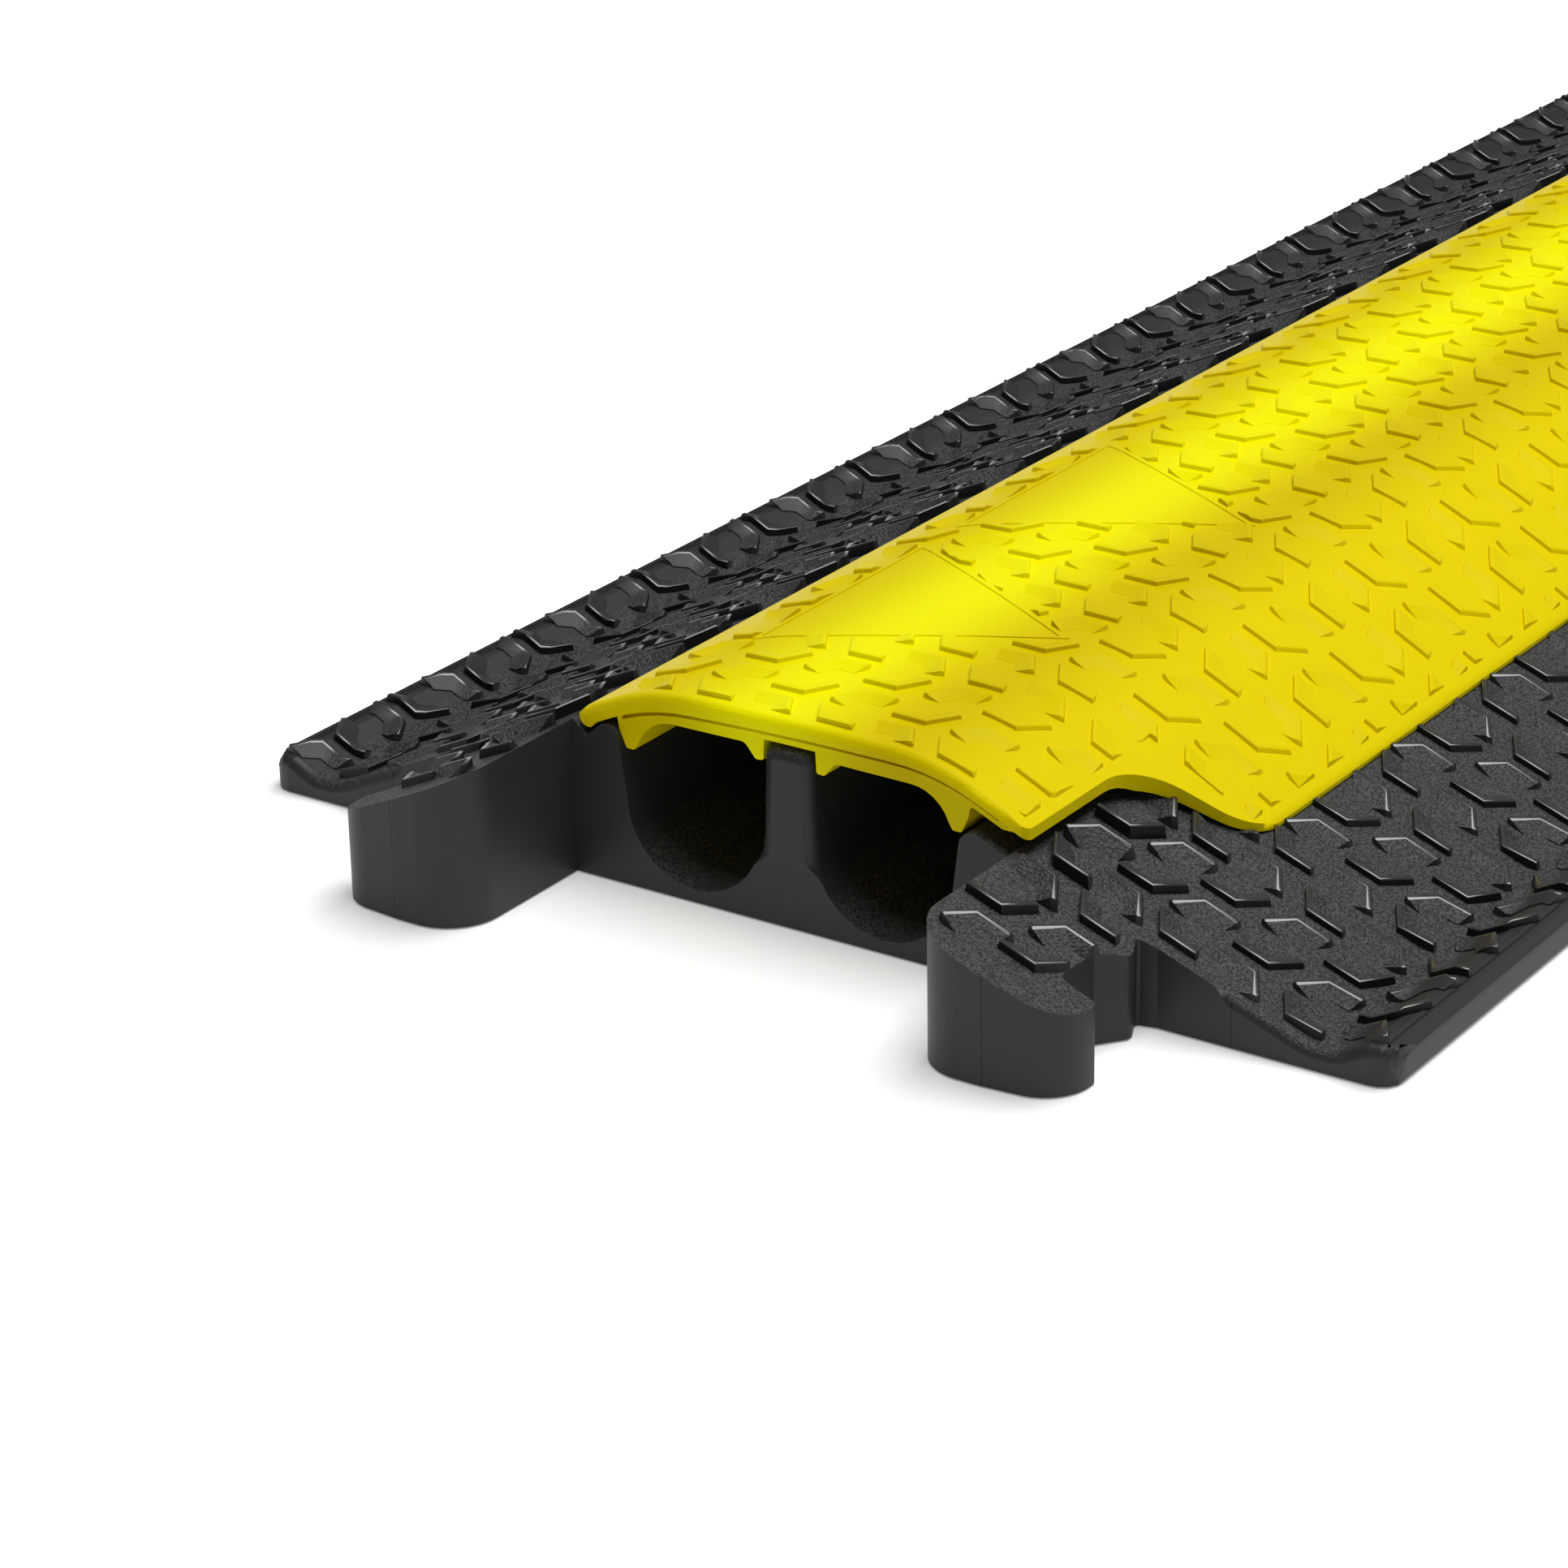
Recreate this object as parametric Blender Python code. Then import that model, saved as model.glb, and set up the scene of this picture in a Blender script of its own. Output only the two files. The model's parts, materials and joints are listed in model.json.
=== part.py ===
# Floor cord cover: a moulded rubber base with two cord channels, and a hinged plastic lid over them.
# Metres, +Z up. The length runs along X, with the jigsaw knobs at -X. The underside lies on z = 0.

from math import asin, atan2, cos, hypot, pi, radians, sin, sqrt, tan

import bmesh
import bpy

# Overall sizes
LENGTH = 1.000
WIDTH = 0.290
KNOB_REACH = 0.0414
NEAR_END = -LENGTH / 2 + KNOB_REACH
FAR_END = LENGTH / 2

# The ramps: each falls from a step beside the lid to a valley, and the rim follows the floor's edge
STEP_Y = 0.0562
FRONT_STEP_Z = 0.0312
BACK_STEP_Z = 0.0364
RAMP_FOOT_Y = 0.1253
VALLEY_Y = 0.1320
VALLEY_Z = 0.0050
VALLEY_R = 0.0120
RIM_Y = 0.1385
RIM_Z = 0.0084
RIM_R = 0.0035

# The two channels, each with a round bottom, and the ledges beside them
CHANNEL_Y = 0.0244
CHANNEL_R = 0.0176
CHANNEL_FLOOR = 0.0030
BOTTOM_STEPS = 14
DIVIDER_HALF = 0.0061
DIVIDER_Z = 0.0413
WALL_Y = 0.0439
FRONT_WALL_Z = 0.0346
BACK_WALL_Z = 0.0376
SMALL_R = 0.0008

# The lid's top line, as arcs of a radius that each reach out to a distance from the middle line
ARCH_TOP = 0.0479
ARCH_ARCS = ((0.800, 0.027), (0.0504, 0.046), (0.351, 0.120))
PLATE_FRONT = 0.0026
PLATE_BACK = 0.0045
PLATE_SPAN = 0.050
LAYER = 0.0023
LAYER_FRONT_Y = -0.0578
LAYER_BACK_Y = 0.0453
LID_END_GAP = 0.0005
ARCH_SETBACK = 0.0011
LID_FRONT_Y = -0.0597
FLANGE_Y = -0.0852
FLANGE_START = 0.0428
FLANGE_FULL = 0.0526
FLANGE_TIP_Z = 0.0206
FLANGE_ROOT_Z = 0.0316
CURVE_IN_R = 0.0165
CURVE_OUT_R = 0.0135
LID_CORNER_R = 0.0020
PAST_HINGE_Y = 0.080

# The hinge: a bead along the lid's back edge, in a groove in the base
HINGE_Y = 0.0524
HINGE_Z = 0.0374
BEAD_R = 0.0023

# The knobs and the sockets that take the next cover's knobs
KNOB_IN_Y = 0.0565
KNOB_OUT_Y = 0.0931
KNOB_ROOT_Y = 0.0912
SOCKET_CLEARANCE = 0.0008
SOCKET_PAST = 0.010

# The rounded edges
CORNER_R = 0.0055
EDGE_ROUND = 0.0024
EDGE_FROM_Y = 0.1070
EDGE_FROM_Z = 0.0030
DIVIDER_ROUND = 0.0026
DIVIDER_EDGE_Y = 0.0098
DIVIDER_EDGE_Z = 0.0100
PLATE_ROUND = 0.0020

# Cutters stand this high, and blanks that are cut to length start this much longer
TALL = 0.120
SPARE = 0.004
WELD = 0.000002
NEAR_BY = 0.0002

# Arcs turn this much at each point, and less where they are wide enough for it to show
TURN_STEP = radians(18)
WIDE_TURN_STEP = radians(7.5)
WIDE_R = 0.0080


def arch_z(y):
    """Height of the lid's top face at y."""
    centre_y, centre_z, before, lean = 0.0, ARCH_TOP, 0.0, 0.0
    for radius, reach in ARCH_ARCS:
        centre_y += (before - radius) * sin(lean)
        centre_z += (before - radius) * cos(lean)
        if abs(y) <= reach:
            break
        lean = asin((reach - centre_y) / radius)
        before = radius
    return centre_z + sqrt(radius * radius - (abs(y) - centre_y) ** 2)


def plate_z(y):
    """Height of the seam below the lid's upper plate, which thickens towards the hinge."""
    across = min(1.0, max(0.0, (y + PLATE_SPAN) / (2 * PLATE_SPAN)))
    return arch_z(y) - PLATE_FRONT - (PLATE_BACK - PLATE_FRONT) * across


def points_along(height, start, end, steps):
    """Points (y, height(y)) from start to end."""
    return [(y, height(y)) for y in (start + (end - start) * i / steps for i in range(steps + 1))]


def arc(centre, radius, start, end, steps):
    """Points on an arc, both ends included, with angles in radians."""
    turn = (end - start) / steps
    return [
        (centre[0] + radius * cos(start + turn * i), centre[1] + radius * sin(start + turn * i))
        for i in range(steps + 1)
    ]


def rounded(corners):
    """A closed outline from corners (a, b, radius), with each corner turned by an arc."""
    outline = []
    for i, (x, y, radius) in enumerate(corners):
        if radius == 0:
            outline.append((x, y))
            continue
        before, after = corners[i - 1], corners[(i + 1) % len(corners)]
        to_before = atan2(before[1] - y, before[0] - x)
        to_after = atan2(after[1] - y, after[0] - x)
        half_turn = abs((to_after - to_before + pi) % (2 * pi) - pi) / 2
        reach = radius / tan(half_turn)
        start = (x + reach * cos(to_before), y + reach * sin(to_before))
        end = (x + reach * cos(to_after), y + reach * sin(to_after))
        towards = atan2(start[1] + end[1] - 2 * y, start[0] + end[0] - 2 * x)
        away = radius / sin(half_turn)
        centre = (x + away * cos(towards), y + away * sin(towards))
        first = atan2(start[1] - centre[1], start[0] - centre[0])
        sweep = (atan2(end[1] - centre[1], end[0] - centre[0]) - first + pi) % (2 * pi) - pi
        steps = max(2, round(abs(sweep) / (WIDE_TURN_STEP if radius > WIDE_R else TURN_STEP)))
        outline += arc(centre, radius, first, first + sweep, steps)
    return outline


def grown(outline, distance):
    """The outline moved outwards by a small distance. It runs anticlockwise."""
    moved = []
    for i, (x, y) in enumerate(outline):
        before, after = outline[i - 1], outline[(i + 1) % len(outline)]
        along = (after[0] - before[0], after[1] - before[1])
        size = hypot(*along)
        moved.append((x + distance * along[1] / size, y - distance * along[0] / size))
    return moved


def material(name, colour, roughness):
    made = bpy.data.materials.new(name)
    made.use_nodes = True
    shader = made.node_tree.nodes["Principled BSDF"]
    shader.inputs["Base Color"].default_value = (*colour, 1.0)
    shader.inputs["Roughness"].default_value = roughness
    return made


def collection(name):
    made = bpy.data.collections.new(name)
    bpy.context.scene.collection.children.link(made)
    return made


def prism(name, outline, low, high, into, along="Z"):
    """A flat outline as a 2D curve, extruded from low to high along Z, or along X with the outline in YZ."""
    curve = bpy.data.curves.new(name, "CURVE")
    curve.dimensions = "2D"
    curve.fill_mode = "BOTH"
    curve.extrude = (high - low) / 2
    spline = curve.splines.new("POLY")
    spline.points.add(len(outline) - 1)
    for point, (a, b) in zip(spline.points, outline):
        point.co = (a, b, 0.0, 1.0)
    spline.use_cyclic_u = True
    drawn = bpy.data.objects.new(name + "_outline", curve)
    into.objects.link(drawn)
    middle = (low + high) / 2
    if along == "X":
        drawn.rotation_euler = (pi / 2, 0.0, pi / 2)
        drawn.location = (middle, 0.0, 0.0)
    else:
        drawn.location = (0.0, 0.0, middle)
    return meshed(drawn, name, into)


def meshed(drawn, name, into):
    """The evaluated object as a mesh of its own, with its caps welded, in place of the object."""
    bpy.context.view_layer.update()
    graph = bpy.context.evaluated_depsgraph_get()
    mesh = bpy.data.meshes.new_from_object(drawn.evaluated_get(graph))
    mesh.transform(drawn.matrix_world)
    work = bmesh.new()
    work.from_mesh(mesh)
    bmesh.ops.remove_doubles(work, verts=work.verts, dist=WELD / 2)
    bmesh.ops.dissolve_limit(work, angle_limit=radians(0.5), verts=work.verts, edges=work.edges)
    bmesh.ops.recalc_face_normals(work, faces=work.faces)
    work.to_mesh(mesh)
    work.free()
    mesh.name = name
    bpy.data.objects.remove(drawn)
    made = bpy.data.objects.new(name, mesh)
    into.objects.link(made)
    return made


def boolean(target, tool, operation):
    step = target.modifiers.new(tool.name, "BOOLEAN")
    step.object = tool
    step.operation = operation
    step.solver = "EXACT"
    tool.hide_render = True
    tool.display_type = "WIRE"


def outer_corners(step_z):
    """The outer part of the base's end view, as corners (y, z, radius), from the foot in to the step."""
    return [
        (WIDTH / 2, 0.0, SMALL_R),
        (WIDTH / 2, RIM_Z, RIM_R),
        (RIM_Y, RIM_Z, 0.0022),
        (VALLEY_Y, VALLEY_Z, 0.0060),
        (RAMP_FOOT_Y, VALLEY_Z, VALLEY_R),
        (STEP_Y, step_z, 0.0003),
    ]


def channel_corners():
    """A channel's round bottom and the divider's side, from the outer wall in."""
    centre_z = CHANNEL_FLOOR + CHANNEL_R
    bottom = arc((CHANNEL_Y, centre_z), CHANNEL_R, 0.0, -pi, BOTTOM_STEPS)
    return [*[(y, z, 0.0) for y, z in bottom], (DIVIDER_HALF, DIVIDER_Z, 0.0032)]


def half_section(outer, ledge):
    """The outline of one half of the base's end view, without its ends on the middle line."""
    half = rounded(outer + ledge + channel_corners() + [(0.0, DIVIDER_Z, 0.0), (0.0, 0.0, 0.0)])
    return [point for point in half if point[0] > 0.0]


def base_section():
    front_ledge = [
        (STEP_Y, FRONT_STEP_Z - 0.0021, SMALL_R),
        (WALL_Y, FRONT_WALL_Z, 0.0034),
    ]
    hinge_groove = [
        (HINGE_Y + 0.0004, 0.0330, 0.0006),
        (HINGE_Y - 0.0012, 0.0345, 0.0004),
        (HINGE_Y - 0.0034, 0.0364, 0.0008),
        (WALL_Y + 0.0008, BACK_WALL_Z, 0.0032),
    ]
    back = half_section(outer_corners(BACK_STEP_Z), hinge_groove)
    front = half_section(outer_corners(FRONT_STEP_Z), front_ledge)
    return back + [(-y, z) for y, z in reversed(front)]


def knob(side, root_x):
    """Plan of one jigsaw knob that hooks outwards, from its outer root round to its inner root."""
    corners = [
        (root_x + 0.0006, KNOB_ROOT_Y, 0.0),
        (root_x - 0.0012, 0.0866, 0.0010),
        (root_x - 0.0071, 0.0893, 0.0024),
        (root_x - 0.0136, 0.0842, 0.0012),
        (root_x - 0.0268, 0.0838, 0.0022),
        (root_x - 0.0274, KNOB_OUT_Y, 0.0012),
        (root_x - 0.0397, KNOB_OUT_Y, 0.0108),
        (root_x - KNOB_REACH, 0.0740, 0.0),
        (root_x - KNOB_REACH, KNOB_IN_Y, 0.0122),
        (root_x + 0.0006, KNOB_IN_Y, 0.0),
    ]
    return [(x, side * y) for x, y in rounded(corners)]


def near_end_cut():
    """Plan of all that the near end's rounded corners and knobs leave free."""
    beyond = NEAR_END - 2 * KNOB_REACH
    wide = WIDTH
    corner = (NEAR_END + CORNER_R, WIDTH / 2 - CORNER_R)
    back = [(corner[0], wide), *arc(corner, CORNER_R, pi / 2, pi, 4)]
    front = [(x, -y) for x, y in reversed(back)]
    root = [(NEAR_END, KNOB_ROOT_Y), *knob(1, NEAR_END)[1:-1], (NEAR_END, KNOB_IN_Y)]
    return [(beyond, wide), *back, *root, *[(x, -y) for x, y in reversed(root)], *front, (beyond, -wide)]


def far_corner_cut(side):
    corner = (FAR_END - CORNER_R, WIDTH / 2 - CORNER_R)
    round_edge = arc(corner, CORNER_R, pi / 2, 0.0, 4)
    past = [(FAR_END + CORNER_R, corner[1]), (FAR_END + CORNER_R, WIDTH), (corner[0], WIDTH)]
    return [(x, side * y) for x, y in round_edge + past]


def socket(side):
    """Plan of a socket: the knob's plan, a little larger, open past the far end."""
    outline = knob(1, FAR_END)
    outline = [(FAR_END + SOCKET_PAST, KNOB_ROOT_Y), *outline[1:-1], (FAR_END + SOCKET_PAST, KNOB_IN_Y)]
    outline = grown(outline, SOCKET_CLEARANCE)
    return [(x, side * y) for x, y in outline]


def lid_plan():
    """Plan of the lid: straight at the back, with a front flange between an S-curve at each end."""
    near, far = NEAR_END + LID_END_GAP, FAR_END - LID_END_GAP
    return rounded([
        (near, PAST_HINGE_Y, 0.0),
        (near, LID_FRONT_Y, LID_CORNER_R),
        (NEAR_END + FLANGE_START, LID_FRONT_Y, CURVE_IN_R),
        (NEAR_END + FLANGE_FULL, FLANGE_Y, CURVE_OUT_R),
        (FAR_END - FLANGE_FULL, FLANGE_Y, CURVE_OUT_R),
        (FAR_END - FLANGE_START, LID_FRONT_Y, CURVE_IN_R),
        (far, LID_FRONT_Y, LID_CORNER_R),
        (far, PAST_HINGE_Y, 0.0),
    ])


def plate_section():
    """The lid's upper plate, with the hinge bead at its back edge and the flange at its front."""
    bead = arc((HINGE_Y, HINGE_Z), BEAD_R, radians(-110), radians(52), 8)
    return [
        *bead,
        *points_along(arch_z, HINGE_Y - 0.0004, FLANGE_Y + 0.0008, 40),
        (FLANGE_Y, arch_z(FLANGE_Y) - 0.0008),
        (FLANGE_Y, FLANGE_TIP_Z),
        (LID_FRONT_Y - 0.0023, FLANGE_ROOT_Z),
        *points_along(plate_z, LID_FRONT_Y, HINGE_Y - 0.0022, 26),
    ]


def layer_section():
    """The layer below the plate with four ribs: two beside the walls, two astride the divider."""
    def under(y):
        return plate_z(y) - LAYER

    def inside(y):
        return plate_z(y) + LAYER / 2

    inner_rib = [(0.0068, 0.0370, 0.0006), (0.0088, 0.0368, 0.0009), (0.0116, 0.0402, 0.0020)]
    gusset = [(y, z, 0.0) for y, z in arc((0.0304, 0.0299), 0.0101, radians(90), radians(20), 6)]
    outer_rib = [(0.0408, 0.0318, SMALL_R), (0.0430, 0.0318, SMALL_R), (0.0448, 0.0358, 0.0006)]
    right = [(0.0066, under(0.0066), 0.0), *inner_rib, *gusset, *outer_rib]
    back_edge = [(LAYER_BACK_Y, plate_z(LAYER_BACK_Y), 0.0), (LAYER_BACK_Y, inside(LAYER_BACK_Y), 0.0)]
    back = rounded([*right, *back_edge])
    notch = [(0.0452, under(-0.0452), SMALL_R), (0.0530, under(-0.0530), SMALL_R)]
    tip = [(-LAYER_FRONT_Y, plate_z(LAYER_FRONT_Y), 0.0), (-LAYER_FRONT_Y, inside(LAYER_FRONT_Y), 0.0)]
    front = rounded([*right, *notch, *tip])
    top = points_along(inside, LAYER_BACK_Y, LAYER_FRONT_Y, 24)[1:-1]
    return back + top + [(-y, z) for y, z in reversed(front)]


def round_chosen(body, offset, wanted, bisect_at=()):
    """Bevel the edges that wanted(edge) picks, after the mesh is split at the given distances from y = 0."""
    work = bmesh.new()
    work.from_mesh(body.data)
    bmesh.ops.remove_doubles(work, verts=work.verts, dist=WELD)
    bmesh.ops.dissolve_limit(work, angle_limit=radians(1.0), verts=work.verts, edges=work.edges)
    for y in bisect_at:
        everything = work.verts[:] + work.edges[:] + work.faces[:]
        bmesh.ops.bisect_plane(work, geom=everything, dist=WELD, plane_co=(0, y, 0), plane_no=(0, 1, 0))
    chosen = [edge for edge in work.edges if wanted(edge)]
    bmesh.ops.bevel(work, geom=chosen, offset=offset, segments=3, profile=0.5, affect="EDGES")
    bmesh.ops.remove_doubles(work, verts=work.verts, dist=WELD)
    work.to_mesh(body.data)
    work.free()


def end_distance(edge):
    """How far the edge's farther point lies from the nearer of the two end planes."""
    return max(min(vert.co.x - NEAR_END, FAR_END - vert.co.x) for vert in edge.verts)


def is_end_wall_top(edge):
    """An end wall's top edge, from the mould seam out to the rounded corner."""
    outside = all(abs(vert.co.y) > EDGE_FROM_Y - WELD and vert.co.z > EDGE_FROM_Z for vert in edge.verts)
    level = any(face.normal.z > 0.3 for face in edge.link_faces)
    upright = any(abs(face.normal.z) < 0.02 for face in edge.link_faces)
    return end_distance(edge) < CORNER_R + NEAR_BY and outside and level and upright


def is_divider_end(edge):
    """The edge round the divider's end face, above the channels' round bottoms."""
    within = all(abs(vert.co.y) < DIVIDER_EDGE_Y and vert.co.z > DIVIDER_EDGE_Z for vert in edge.verts)
    faces_end = any(abs(face.normal.x) > 0.99 for face in edge.link_faces)
    return end_distance(edge) < WELD and within and faces_end and len(edge.link_faces) == 2


def is_plate_end(edge):
    """The top edge of the lid's ends."""
    faces_end = any(abs(face.normal.x) > 0.99 for face in edge.link_faces)
    faces_up = any(face.normal.z > 0.5 for face in edge.link_faces)
    return faces_end and faces_up and end_distance(edge) < LID_END_GAP + WELD


def make_base(parts, cutters):
    base = prism("base", base_section(), -LENGTH / 2 - SPARE, FAR_END, parts, "X")
    boolean(base, prism("near_end", near_end_cut(), -TALL, TALL, cutters), "DIFFERENCE")
    for side, place in ((1, "back"), (-1, "front")):
        boolean(base, prism("socket_" + place, socket(side), -TALL, TALL, cutters), "DIFFERENCE")
        boolean(base, prism("far_corner_" + place, far_corner_cut(side), -TALL, TALL, cutters), "DIFFERENCE")
    base = meshed(base, "base", parts)
    round_chosen(base, EDGE_ROUND, is_end_wall_top, (-EDGE_FROM_Y, EDGE_FROM_Y))
    round_chosen(base, DIVIDER_ROUND, is_divider_end)
    return base


def make_lid(parts, cutters):
    near, far = NEAR_END + LID_END_GAP, FAR_END - LID_END_GAP
    lid = prism("lid", plate_section(), near - SPARE, far + SPARE, parts, "X")
    boolean(lid, prism("lid_plan", lid_plan(), -TALL, TALL, cutters), "INTERSECT")
    lid = meshed(lid, "lid", parts)
    round_chosen(lid, PLATE_ROUND, is_plate_end)
    layer = prism("layer", layer_section(), near + ARCH_SETBACK, far - ARCH_SETBACK, cutters, "X")
    boolean(lid, layer, "UNION")
    return meshed(lid, "lid", parts)


def main():
    for old in list(bpy.data.objects):
        bpy.data.objects.remove(old)
    parts = collection("floor_cord_cover")
    cutters = collection("cutters")
    base = make_base(parts, cutters)
    base.data.materials.append(material("black_rubber", (0.022, 0.022, 0.023), 0.55))
    lid = make_lid(parts, cutters)
    lid.data.materials.append(material("yellow_plastic", (0.86, 0.68, 0.01), 0.42))
    hinge = bpy.data.objects.new("hinge_axis", None)
    hinge.location = ((NEAR_END + FAR_END) / 2, HINGE_Y, HINGE_Z)
    parts.objects.link(hinge)
    bpy.context.view_layer.update()
    lid.parent = hinge
    lid.matrix_parent_inverse = hinge.matrix_world.inverted()


main()
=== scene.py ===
import json
from math import asin, cos, pi, radians, sin, sqrt

import bmesh
import bpy
from mathutils import Matrix

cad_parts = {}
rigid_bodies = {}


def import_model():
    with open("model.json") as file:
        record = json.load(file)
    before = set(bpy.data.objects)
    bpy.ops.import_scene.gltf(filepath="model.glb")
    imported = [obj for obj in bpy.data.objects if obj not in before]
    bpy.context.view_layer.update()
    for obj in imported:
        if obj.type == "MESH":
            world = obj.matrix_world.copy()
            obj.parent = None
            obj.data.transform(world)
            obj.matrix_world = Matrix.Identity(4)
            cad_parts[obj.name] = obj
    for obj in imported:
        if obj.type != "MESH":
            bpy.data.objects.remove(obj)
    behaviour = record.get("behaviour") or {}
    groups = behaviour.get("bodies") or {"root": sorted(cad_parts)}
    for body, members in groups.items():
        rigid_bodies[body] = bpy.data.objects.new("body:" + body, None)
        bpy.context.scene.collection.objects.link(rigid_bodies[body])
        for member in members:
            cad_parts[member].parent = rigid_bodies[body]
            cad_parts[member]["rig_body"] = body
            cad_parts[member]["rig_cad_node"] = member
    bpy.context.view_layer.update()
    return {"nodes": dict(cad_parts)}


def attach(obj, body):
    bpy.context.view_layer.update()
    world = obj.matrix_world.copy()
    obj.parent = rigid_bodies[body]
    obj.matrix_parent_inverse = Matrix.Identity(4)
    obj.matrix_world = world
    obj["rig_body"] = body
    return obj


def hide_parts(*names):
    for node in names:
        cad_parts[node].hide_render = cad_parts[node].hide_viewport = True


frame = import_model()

# The cover is seen from its knob end, from a little above and from the front, with a long lens.
# The place and turn of the camera come from the straight edges of the cover itself.
CAMERA_PLACE = (-1.1970, -0.51235, 0.41975)
CAMERA_YAW = radians(34.78)
CAMERA_PITCH = radians(23.25)
CAMERA_ROLL = radians(-1.13)

camera_data = bpy.data.cameras.new("viewpoint")
camera_data.sensor_width = 36.0
camera_data.lens = 105.95
camera_data.clip_start = 0.05
camera = bpy.data.objects.new("viewpoint", camera_data)
bpy.context.scene.collection.objects.link(camera)
camera.matrix_world = (
    Matrix.Translation(CAMERA_PLACE)
    @ Matrix.Rotation(CAMERA_YAW - pi / 2, 4, "Z")
    @ Matrix.Rotation(pi / 2 - CAMERA_PITCH, 4, "X")
    @ Matrix.Rotation(CAMERA_ROLL, 4, "Z")
)
bpy.context.scene.camera = camera
bpy.context.scene.view_settings.view_transform = "Standard"

# A plain white floor carries the cover. It is far larger than the cover, so that its edge never shows.
# It glows faintly, as white paper does when it is lit from below too.
FLOOR_SIZE = 12
FLOOR_Z = -0.0004
bpy.ops.object.select_all(action="DESELECT")
bpy.ops.mesh.primitive_plane_add(size=FLOOR_SIZE, location=(0, 0, FLOOR_Z))
floor = bpy.context.object
floor.name = "floor"
paper = bpy.data.materials.new("white_paper")
paper.use_nodes = True
paper_shader = paper.node_tree.nodes["Principled BSDF"]
paper_shader.inputs["Base Color"].default_value = (0.92, 0.92, 0.92, 1)
paper_shader.inputs["Roughness"].default_value = 0.9
paper_shader.inputs["Specular IOR Level"].default_value = 0.1
paper_shader.inputs["Emission Color"].default_value = (1, 1, 1, 1)
paper_shader.inputs["Emission Strength"].default_value = 0.22
floor.data.materials.append(paper)


# The light is a dim white room with one large soft lamp above and a weaker one behind.
def soft_lamp(name, place, size, watts):
    """A square studio lamp that shines from place towards the cover's middle."""
    lamp_data = bpy.data.lights.new(name, "AREA")
    lamp_data.shape = "RECTANGLE"
    lamp_data.size, lamp_data.size_y = size
    lamp_data.energy = watts
    lamp = bpy.data.objects.new(name, lamp_data)
    bpy.context.scene.collection.objects.link(lamp)
    lamp.location = place
    lamp.rotation_mode = "QUATERNION"
    lamp.rotation_quaternion = lamp.location.to_track_quat("Z", "Y")
    return lamp


soft_lamp("top_lamp", (0.0, -0.35, 1.9), (2.0, 1.2), 42)
soft_lamp("back_lamp", (0.6, 1.9, 1.1), (1.8, 0.7), 7).visible_glossy = False
world = bpy.data.worlds.new("white_room")
world.use_nodes = True
world.node_tree.nodes["Background"].inputs["Color"].default_value = (1, 1, 1, 1)
world.node_tree.nodes["Background"].inputs["Strength"].default_value = 0.14
bpy.context.scene.world = world

# The base is one moulding in black rubber: ramps, channels, divider, knobs and sockets.
# Its top has a fine stipple from the mould. Its rim and upright walls are smoother, with faint seams.
NEAR_END = -0.4586
FAR_END = 0.5
SEAM_PLACES = (0.1083, 0.0748)
SEAM_WIDE = 0.00016
WELD = 0.000004
FLAT_ANGLE = radians(0.05)
CREASE = radians(32)
END_FACE_AREA = 0.0001
END_FACE_TURN = 0.999


def moulding_from(node, name):
    """A copy of a CAD node with its loose triangles merged into whole faces."""
    bpy.ops.object.select_all(action="DESELECT")
    solid = frame["nodes"][node]
    solid.select_set(True)
    bpy.context.view_layer.objects.active = solid
    bpy.ops.object.duplicate()
    moulding = bpy.context.object
    moulding.name = name
    bpy.ops.object.parent_clear(type="CLEAR_KEEP_TRANSFORM")
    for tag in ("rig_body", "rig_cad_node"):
        del moulding[tag]
    bpy.ops.object.mode_set(mode="EDIT")
    bpy.ops.mesh.select_all(action="SELECT")
    bpy.ops.mesh.remove_doubles(threshold=WELD)
    bpy.ops.mesh.dissolve_limited(angle_limit=FLAT_ANGLE)
    bpy.ops.object.mode_set(mode="OBJECT")
    return moulding


def apply_step(piece, kind, **settings):
    """Adds one modifier to the piece and applies it."""
    bpy.ops.object.select_all(action="DESELECT")
    piece.select_set(True)
    bpy.context.view_layer.objects.active = piece
    step = piece.modifiers.new("step", kind)
    for setting, value in settings.items():
        setattr(step, setting, value)
    bpy.ops.object.modifier_apply(modifier="step")


def finish_material(name):
    """A new node material, and its nodes, links and shader."""
    made = bpy.data.materials.new(name)
    made.use_nodes = True
    nodes = made.node_tree.nodes
    return made, nodes, made.node_tree.links, nodes["Principled BSDF"]


grain = bpy.data.node_groups.new("moulded_grain", "ShaderNodeTree")
for socket_name, start in (("Grain Size", 0.00045), ("Patch Size", 0.02)):
    socket = grain.interface.new_socket(socket_name, in_out="INPUT", socket_type="NodeSocketFloat")
    socket.default_value = start
for socket_name in ("Height", "Patches", "Upward"):
    grain.interface.new_socket(socket_name, in_out="OUTPUT", socket_type="NodeSocketFloat")
grain_in = grain.nodes.new("NodeGroupInput")
grain_out = grain.nodes.new("NodeGroupOutput")
grain_place = grain.nodes.new("ShaderNodeTexCoord")
for socket_name, wanted in (("Grain Size", "Height"), ("Patch Size", "Patches")):
    per_metre = grain.nodes.new("ShaderNodeMath")
    per_metre.operation = "DIVIDE"
    per_metre.inputs[0].default_value = 1.0
    grain.links.new(grain_in.outputs[socket_name], per_metre.inputs[1])
    cells = grain.nodes.new("ShaderNodeTexNoise")
    cells.inputs["Detail"].default_value = 1.0
    cells.inputs["Roughness"].default_value = 0.6
    grain.links.new(grain_place.outputs["Object"], cells.inputs["Vector"])
    grain.links.new(per_metre.outputs[0], cells.inputs["Scale"])
    grain.links.new(cells.outputs["Fac"], grain_out.inputs[wanted])
grain_face = grain.nodes.new("ShaderNodeNewGeometry")
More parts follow.
